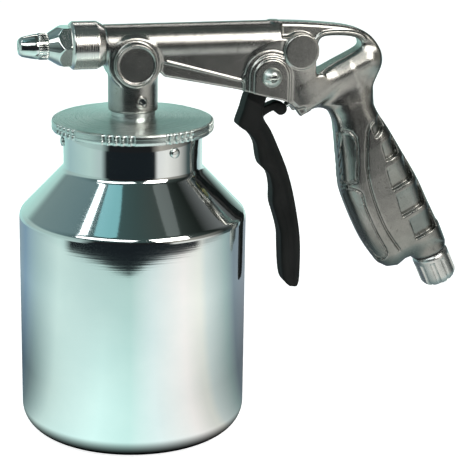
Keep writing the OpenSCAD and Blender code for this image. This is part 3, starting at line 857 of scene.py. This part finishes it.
def make_collar():
    r = collar_hi[2] - BARREL_Z
    outer = [(9.55, 14.65), (9.7, 14.6), (r - 0.15, 17.2), (r, 17.7)]
    for k in range(12):
        at = 18.6 + 0.8 * k
        outer += [(r, at), (r - 0.05, at + 0.15), (r, at + 0.3)]
    outer += [(r, 28.5), (r - 0.15, 28.8), (r - 0.95, 29.65), (r - 1.2, 29.8), (7.7, 29.8),
              (7.55, 29.65), (7.55, 14.7), (7.6, 14.65)]
    verts, faces = lathe(outer, 160)
    return piece("collar_ring", along_x(verts), faces, "gun", "turned", "nozzle_collar", 40)


def make_nozzle_body():
    """Hexagon whose corners are turned away by a cone at the front."""
    across = 8.85
    axial = ([(29.86, 4.9), (29.87, 11.0), (30.1, 11.2)]
             + [(30.1 + 0.35 * k, 11.2) for k in range(1, 29)]
             + [(40.0, 6.2), (40.02, 5.4), (40.02, 4.4), (46.2, 4.4), (46.5, 4.1), (46.5, 2.9),
                (17.0, 2.9), (17.0, 4.7), (17.3, 5.0), (29.86, 5.0)])

    def radius(i, angles, r, z):
        if r[0] < 6 or z > 40.01:
            return r
        local = (np.degrees(angles) + 30) % 60 - 30
        hexagon = across / np.cos(np.radians(local))
        cone = 6.1 + (40.05 - z) * 0.62
        if z < 30.1:
            hexagon = np.minimum(hexagon, 9.6)
        k = 0.22
        h = np.clip(0.5 + 0.5 * (cone - hexagon) / k, 0, 1)
        return cone + (hexagon - cone) * h - k * h * (1 - h)

    verts, faces = lathe([(r, z) for z, r in axial], 720, radius)
    return piece("nozzle_hexagon", along_x(verts), faces, "gun", "bright", "nozzle_body", 35)


def make_tip():
    front = -box_mm("spray_tip")[0][0]
    profile = [(4.45, 40.2), (5.9, 40.2), (6.2, 40.5), (6.2, 41.2), (6.2, 42), (6.2, 43),
               (6.2, 44.2), (6.0, 44.5), (5.85, 44.7), (5.85, 45.0)]
    profile += [(5.9 - 1.3 * t ** 1.25, 45.2 + 6.8 * t) for t in (0.0, 0.2, 0.4, 0.6, 0.8, 1.0)]
    profile += [(4.2, 52.7), (3.5, front - 0.15), (3.2, front), (2.0, front), (1.5, front - 0.3),
                (1.1, front - 0.9), (1.1, 51.6), (1.6, 51.4), (4.4, 47), (4.45, 46.8)]

    def radius(i, angles, r, z):
        if 40.3 < z < 44.4 and r[0] > 6.1:
            return r - 0.32 * np.clip(np.cos(angles * 36), 0, 1) ** 0.7
        return r

    verts, faces = lathe(profile, 720, radius)
    return piece("tip_cone", along_x(verts), faces, "tip", "bright", "spray_tip", 35)


# --- inlet -----------------------------------------------------------------------------------

INLET_R = 9.2
FLUTE_START = 5.4
FLUTES = 10
THREAD_TURNS, THREAD_CORE_R = 8, 5.74


def make_inlet():
    """Fluted connector, open below with the female thread."""
    outside = [(8.2, 1.25), (9.1, 2.2)]
    outside += [(INLET_R, z) for z in (3.2, 4.2, 4.8, 5.2, 5.6, 6.2, 7.5, 9, 11, 13)]
    outside += [(9.15, 14.2), (8.7, 15.4), (7.9, 16.4), (7.2, 17.0), (6.9, 17.18)]
    thread = [(6.5, 17.2)] + [(THREAD_CORE_R + (0.55 if k % 2 else 0.0), 16.6 - 0.62 * k)
                              for k in range(2 * THREAD_TURNS)]
    profile = outside + thread + [(THREAD_CORE_R, 6.0), (4.0, 5.8), (4.0, -9.9), (6.3, -9.9),
                                  (6.55, -9.6), (6.55, 1.2)]

    def radius(i, angles, r, z):
        if i >= len(outside) or z < 4.3:
            return r
        spread = np.abs((np.degrees(angles) + 18) % 36 - 18) / 18 * (math.pi * INLET_R / FLUTES)
        near = np.hypot(spread, min(z - FLUTE_START, 0))
        return r - 0.95 * np.sqrt(np.clip(1 - (near / 1.35) ** 2, 0, 1))

    verts, faces = lathe(profile, 720, radius)
    return piece("inlet_connector", aim(verts, INLET_FACE, INLET_DIR), faces, "gun", "inlet",
                 "air_inlet", 38)


# --- screws -------------------------------------------------------------------------------------


def make_pivot_screw():
    """Domed head with a slot across it, on a plain shank."""
    def head(x, y, z):
        r = np.hypot(x - PIVOT_X, z - PIVOT_Z)
        dome = np.sqrt(r * r + (y + 9.6) ** 2) - 5.2
        f = np.maximum(join(dome, plate(r - 4.3, y + 12.1, 0.6, 0.25), 0.3), y + 11.5)
        return cut(f, np.maximum(np.abs((z - PIVOT_Z) - 0.1 * (x - PIVOT_X)) - 0.5, y + 13.6), 0.15)
    lo = np.array((PIVOT_X - 4.6, -14.2, PIVOT_Z - 4.6))
    hi = np.array((PIVOT_X + 4.6, -11.4, PIVOT_Z + 4.6))
    field_piece("pivot_screw_head", head, lo, hi, 0.12, "gun", "screw", "trigger_screw")
    shank = [(0.01, 0), (2.3, 0), (2.5, 0.2), (2.5, 26.6), (2.3, 26.8), (0.01, 26.8)]
    verts, faces = lathe(shank, 48)
    piece("pivot_screw_shank", aim(verts, (PIVOT_X, -12.2, PIVOT_Z), (0, 1, 0)), faces, "gun",
          "steel", "trigger_screw", 40)


# --- stage --------------------------------------------------------------------------------------
# The camera and the shadows see a plain pale floor and backdrop. The metal sees a studio of
# the usual kind: a lit floor sheet round the object, dark beyond it, and six soft boxes.


def sums(tree, operation, a, b):
    """A math node; a and b are outputs or numbers."""
    m = tree.nodes.new("ShaderNodeMath")
    m.operation = operation
    for socket, value in zip(m.inputs, (a, b)):
        if isinstance(value, (int, float)):
            socket.default_value = value
        else:
            tree.links.new(value, socket)
    return m.outputs[0]


def azimuth_of(tree, vector):
    """0 to 1 for a direction round +Z: 0.5 is towards -Y, 0.75 is towards +X."""
    sep = tree.nodes.new("ShaderNodeSeparateXYZ")
    tree.links.new(vector, sep.inputs[0])
    turn = sums(tree, "ARCTAN2", sep.outputs["X"], sums(tree, "MULTIPLY", sep.outputs["Y"], -1))
    span = tree.nodes.new("ShaderNodeMapRange")
    span.inputs["From Min"].default_value = -math.pi
    span.inputs["From Max"].default_value = math.pi
    tree.links.new(turn, span.inputs["Value"])
    return span.outputs["Result"], sep


def round_ramp(tree, fac, stops):
    """Colours by azimuth in degrees."""
    ramp = tree.nodes.new("ShaderNodeValToRGB")
    e = ramp.color_ramp.elements
    while len(e) < len(stops):
        e.new(0.5)
    for el, (deg, colour) in zip(e, stops):
        el.position = (deg + 180) / 360
        el.color = (*colour, 1)
    tree.links.new(fac, ramp.inputs["Fac"])
    return ramp.outputs["Color"]


def step_between(tree, value, low, high):
    m = tree.nodes.new("ShaderNodeMapRange")
    m.interpolation_type = "SMOOTHSTEP"
    m.inputs["From Min"].default_value = low
    m.inputs["From Max"].default_value = high
    tree.links.new(value, m.inputs["Value"])
    return m.outputs["Result"]


def mixed(tree, fac, a, b):
    m = tree.nodes.new("ShaderNodeMix")
    m.data_type = "RGBA"
    tree.links.new(fac, m.inputs["Factor"])
    tree.links.new(a, m.inputs["A"])
    tree.links.new(b, m.inputs["B"])
    return m.outputs["Result"]


ROOM = 4.0  # half width and height of the studio, in metres
BACK = (0.50, 0.86, 0.78)
FLOOR_NEAR = [(-180, (0.30, 0.38, 0.40)), (-142, (0.22, 0.34, 0.44)), (-112, (0.40, 0.56, 0.56)),
              (-85, (0.61, 0.80, 0.76)), (-55, (0.54, 0.73, 0.70)), (-14, (0.49, 0.70, 0.66)),
              (6, (0.72, 0.84, 0.83)), (36, (0.99, 0.95, 0.92)), (54, (0.90, 0.91, 0.84)),
              (62, (0.70, 0.78, 0.76)), (88, (0.36, 0.48, 0.47)), (104, (0.22, 0.28, 0.32)),
              (130, (0.26, 0.30, 0.34)), (180, (0.30, 0.38, 0.40))]
BLACK = (0.010, 0.014, 0.017)
FLOOR_MID = [(-180, BACK), (-142, (0.24, 0.36, 0.45)), (-112, (0.36, 0.50, 0.50)),
             (-85, (0.56, 0.76, 0.72)), (-80, (0.50, 0.68, 0.65)), (-72, BLACK), (50, BLACK),
             (57, (0.62, 0.62, 0.58)), (62, (0.40, 0.43, 0.42)), (88, (0.10, 0.13, 0.13)),
             (106, (0.05, 0.07, 0.08)), (120, (0.24, 0.30, 0.33)), (145, (0.55, 0.72, 0.70)),
             (180, BACK)]
FLOOR_FAR = [(-180, BACK), (-136, (0.36, 0.53, 0.54)), (-85, (0.48, 0.66, 0.62)),
             (-64, (0.44, 0.56, 0.55)), (-54, BLACK), (23, BLACK), (29, (0.76, 0.77, 0.75)),
             (45, (0.84, 0.84, 0.80)), (66, (0.62, 0.62, 0.59)), (88, (0.06, 0.09, 0.09)),
             (106, (0.03, 0.045, 0.055)), (120, (0.36, 0.48, 0.50)), (140, (0.70, 0.90, 0.86)),
             (180, BACK)]
# Brightness of the sheet close round the cup's foot, by azimuth
FOOT = [(-180, 0.30), (-122, 0.34), (-106, 0.52), (-90, 0.74), (-74, 0.92), (-38, 1.22),
        (-14, 1.14), (10, 0.92), (31, 0.80), (50, 0.62), (60, 0.60), (72, 0.56), (90, 0.50),
        (180, 0.30)]
# How far the lit part of the sheet reaches, in metres, by azimuth
SHEET_EDGE = [(-180, 0.43), (-84, 0.404), (-60, 0.394), (-42, 0.381), (-30, 0.365), (-15, 0.35),
              (-5, 0.366), (2, 0.379), (14, 0.392), (23, 0.398), (38, 0.402), (60, 0.414),
              (180, 0.43)]
WALL_LOW = [(-180, BACK), (-140, (0.36, 0.48, 0.46)), (-90, (0.40, 0.56, 0.53)),
            (-64, (0.36, 0.48, 0.46)), (-50, (0.012, 0.014, 0.016)), (18, (0.012, 0.013, 0.014)),
            (34, (0.40, 0.38, 0.34)), (70, (0.22, 0.22, 0.20)), (92, (0.02, 0.025, 0.025)),
            (116, (0.09, 0.10, 0.095)), (136, (0.02, 0.02, 0.02)), (150, (0.40, 0.56, 0.52)),
            (180, BACK)]
WALL_HIGH = [(-180, (0.05, 0.07, 0.065)), (-145, (0.18, 0.26, 0.26)), (-108, (0.14, 0.22, 0.23)),
             (-60, (0.05, 0.095, 0.095)), (0, (0.045, 0.075, 0.072)), (50, (0.05, 0.065, 0.06)),
             (90, (0.012, 0.016, 0.014)), (112, (0.17, 0.18, 0.18)), (140, (0.02, 0.025, 0.024)),
             (180, (0.04, 0.055, 0.05))]


def quad(name, corners, material, camera=False, glossy=True, diffuse=False, shadow=False):
    """A flat sheet of the studio."""
    mesh = bpy.data.meshes.new(name)
    mesh.from_pydata(corners, [], [(0, 1, 2, 3)])
    ob = bpy.data.objects.new(name, mesh)
    bpy.context.scene.collection.objects.link(ob)
    mesh.materials.append(material)
    ob.visible_camera = camera
    ob.visible_glossy = glossy
    ob.visible_diffuse = diffuse
    ob.visible_transmission = glossy
    ob.visible_shadow = shadow
    return ob


def level(s, z):
    return [(-s, -s, z), (s, -s, z), (s, s, z), (-s, s, z)]


def make_floor():
    paper = Nodes("floor_paper")
    paper.put(Base_Color=(0.86, 0.87, 0.87, 1), Roughness=0.9,
              Emission_Color=(1, 1, 1, 1), Emission_Strength=0.86)
    quad("floor", level(ROOM, 0.0), paper.mat, camera=True, glossy=False, diffuse=True)
    sky = Nodes("backdrop_paper")
    sky.put(Base_Color=(0, 0, 0, 1), Emission_Color=(1, 1, 1, 1), Emission_Strength=1.0)
    s = ROOM
    for k in range(4):
        c, d = ((-s, -s), (s, -s), (s, s), (-s, s))[k], ((s, -s), (s, s), (-s, s), (-s, -s))[k]
        quad(f"backdrop_{k + 1}", [(*c, 0), (*d, 0), (*d, s), (*c, s)], sky.mat,
             camera=True, glossy=False)
    quad("backdrop_top", level(s, s), sky.mat, camera=True, glossy=False)


def make_lit_sheet():
    """What the metal sees of the floor: lit round the object and dark further out in front."""
    mat = bpy.data.materials.new("lit_sheet")
    mat.use_nodes = True
    t = mat.node_tree
    t.nodes.clear()
    place = t.nodes.new("ShaderNodeTexCoord").outputs["Object"]
    turn, _ = azimuth_of(t, place)
    length = t.nodes.new("ShaderNodeVectorMath")
    length.operation = "LENGTH"
    t.links.new(place, length.inputs[0])
    far = length.outputs["Value"]
    near_colour = round_ramp(t, turn, FLOOR_NEAR)
    mid_colour = round_ramp(t, turn, FLOOR_MID)
    far_colour = round_ramp(t, turn, FLOOR_FAR)
    glow = t.nodes.new("ShaderNodeMapRange")
    glow.inputs["From Min"].default_value = 0.06
    glow.inputs["From Max"].default_value = 0.34
    glow.inputs["To Min"].default_value = 1.22
    glow.inputs["To Max"].default_value = 0.98
    t.links.new(far, glow.inputs["Value"])
    # Light falls off close round the cup's foot
    foot = round_ramp(t, turn, [(deg, (v / 2, v / 2, v / 2)) for deg, v in FOOT])
    close = t.nodes.new("ShaderNodeMapRange")
    close.inputs["From Min"].default_value = 0.27
    close.inputs["From Max"].default_value = 0.12
    t.links.new(far, close.inputs["Value"])
    even = t.nodes.new("ShaderNodeRGB")
    even.outputs[0].default_value = (0.5, 0.5, 0.5, 1)
    fall = sums(t, "MULTIPLY", mixed(t, close.outputs["Result"], even.outputs[0], foot), 2)
    lit = sums(t, "MULTIPLY", glow.outputs["Result"], fall)
    # The contact shadow right under the cup's rounded edge
    shade = sums(t, "MULTIPLY", lit, step_between(t, far, 0.048, 0.068))
    edge = round_ramp(t, turn, [(deg, (r, r, r)) for deg, r in SHEET_EDGE])
    past = sums(t, "SUBTRACT", far, edge)
    colour = mixed(t, step_between(t, past, 0.0, 0.014), near_colour, mid_colour)
    colour = mixed(t, step_between(t, far, 0.46, 0.53), colour, far_colour)
    emit = t.nodes.new("ShaderNodeEmission")
    t.links.new(colour, emit.inputs["Color"])
    t.links.new(shade, emit.inputs["Strength"])
    out = t.nodes.new("ShaderNodeOutputMaterial")
    t.links.new(emit.outputs[0], out.inputs["Surface"])
    quad("lit_sheet", level(ROOM, 0.0002), mat)


def lamp(name, azimuth, elevation, size, radiance, colour, distance=1.3):
    """A soft box seen from the object at an azimuth and elevation, in degrees."""
    a, e = math.radians(azimuth), math.radians(elevation)
    centre = Vector((0.03, 0, 0.13))
    to = Vector((math.sin(a) * math.cos(e), -math.cos(a) * math.cos(e), math.sin(e)))
    data = bpy.data.lights.new(name, "AREA")
    data.shape = "RECTANGLE"
    data.size = 2 * distance * math.tan(math.radians(size[0]))
    data.size_y = 2 * distance * math.tan(math.radians(size[1]))
    data.energy = radiance * math.pi * data.size * data.size_y
    data.color = colour
    ob = bpy.data.objects.new(name, data)
    ob.location = centre + to * distance
    ob.rotation_euler = (-to).to_track_quat("-Z", "Y").to_euler()
    ob.visible_camera = False
    bpy.context.scene.collection.objects.link(ob)
    return ob


def make_lights():
    world = bpy.data.worlds.new("studio")
    bpy.context.scene.world = world
    world.use_nodes = True
    t = world.node_tree
    place = t.nodes.new("ShaderNodeTexCoord").outputs["Generated"]
    turn, sep = azimuth_of(t, place)
    low = round_ramp(t, turn, WALL_LOW)
    high = round_ramp(t, turn, WALL_HIGH)
    colour = mixed(t, step_between(t, sep.outputs["Z"], 0.24, 0.42), low, high)
    t.links.new(colour, t.nodes["Background"].inputs["Color"])
    lamp("soft_box_left", -43, 38, (27, 9), 2.6, (0.96, 1.0, 1.0))
    lamp("soft_box_right", 28, 31, (17, 15), 5.0, (1.0, 0.965, 0.91))
    lamp("soft_box_top", -90, 57, (2.2, 6), 3.4, (0.90, 1.0, 1.0))
    lamp("soft_box_side", -64, 66, (7, 5), 0.42, (0.40, 0.94, 1.0))
    lamp("soft_box_grey", 62, 66, (7, 7), 0.11, (0.9, 1.0, 0.98))
    lamp("strip_back", 158, 49, (26, 3), 3.2, (1.0, 0.98, 0.95))


def make_camera():
    """Looks mostly along +Y from a little to the nozzle's side and above."""
    azimuth, elevation, roll = (math.radians(v) for v in (-15.0, 16.4, 0.97))
    distance = 0.84
    target = Vector((0.04733, -0.01268, 0.0958))
    back = Vector((math.sin(azimuth) * math.cos(elevation),
                   -math.cos(azimuth) * math.cos(elevation), math.sin(elevation)))
    data = bpy.data.cameras.new("camera")
    data.lens, data.sensor_width = 134.04, 36
    data.clip_start, data.clip_end = 0.05, 20
    ob = bpy.data.objects.new("camera", data)
    right = Vector((math.cos(azimuth), math.sin(azimuth), 0))
    up = back.cross(right)
    r2 = right * math.cos(roll) + up * math.sin(roll)
    u2 = up * math.cos(roll) - right * math.sin(roll)
    ob.matrix_world = (Matrix.Translation(target + back * distance)
                       @ Matrix((r2, u2, back)).transposed().to_4x4())
    bpy.context.scene.collection.objects.link(ob)
    bpy.context.scene.camera = ob


dress_nodes()
make_camera()
make_lights()
make_floor()
make_lit_sheet()
make_gun()
make_trigger()
make_cup()
make_lid()
make_bayonet_pins()
make_collar()
make_nozzle_body()
make_tip()
make_inlet()
make_pivot_screw()

bpy.context.scene.view_settings.view_transform = "Standard"
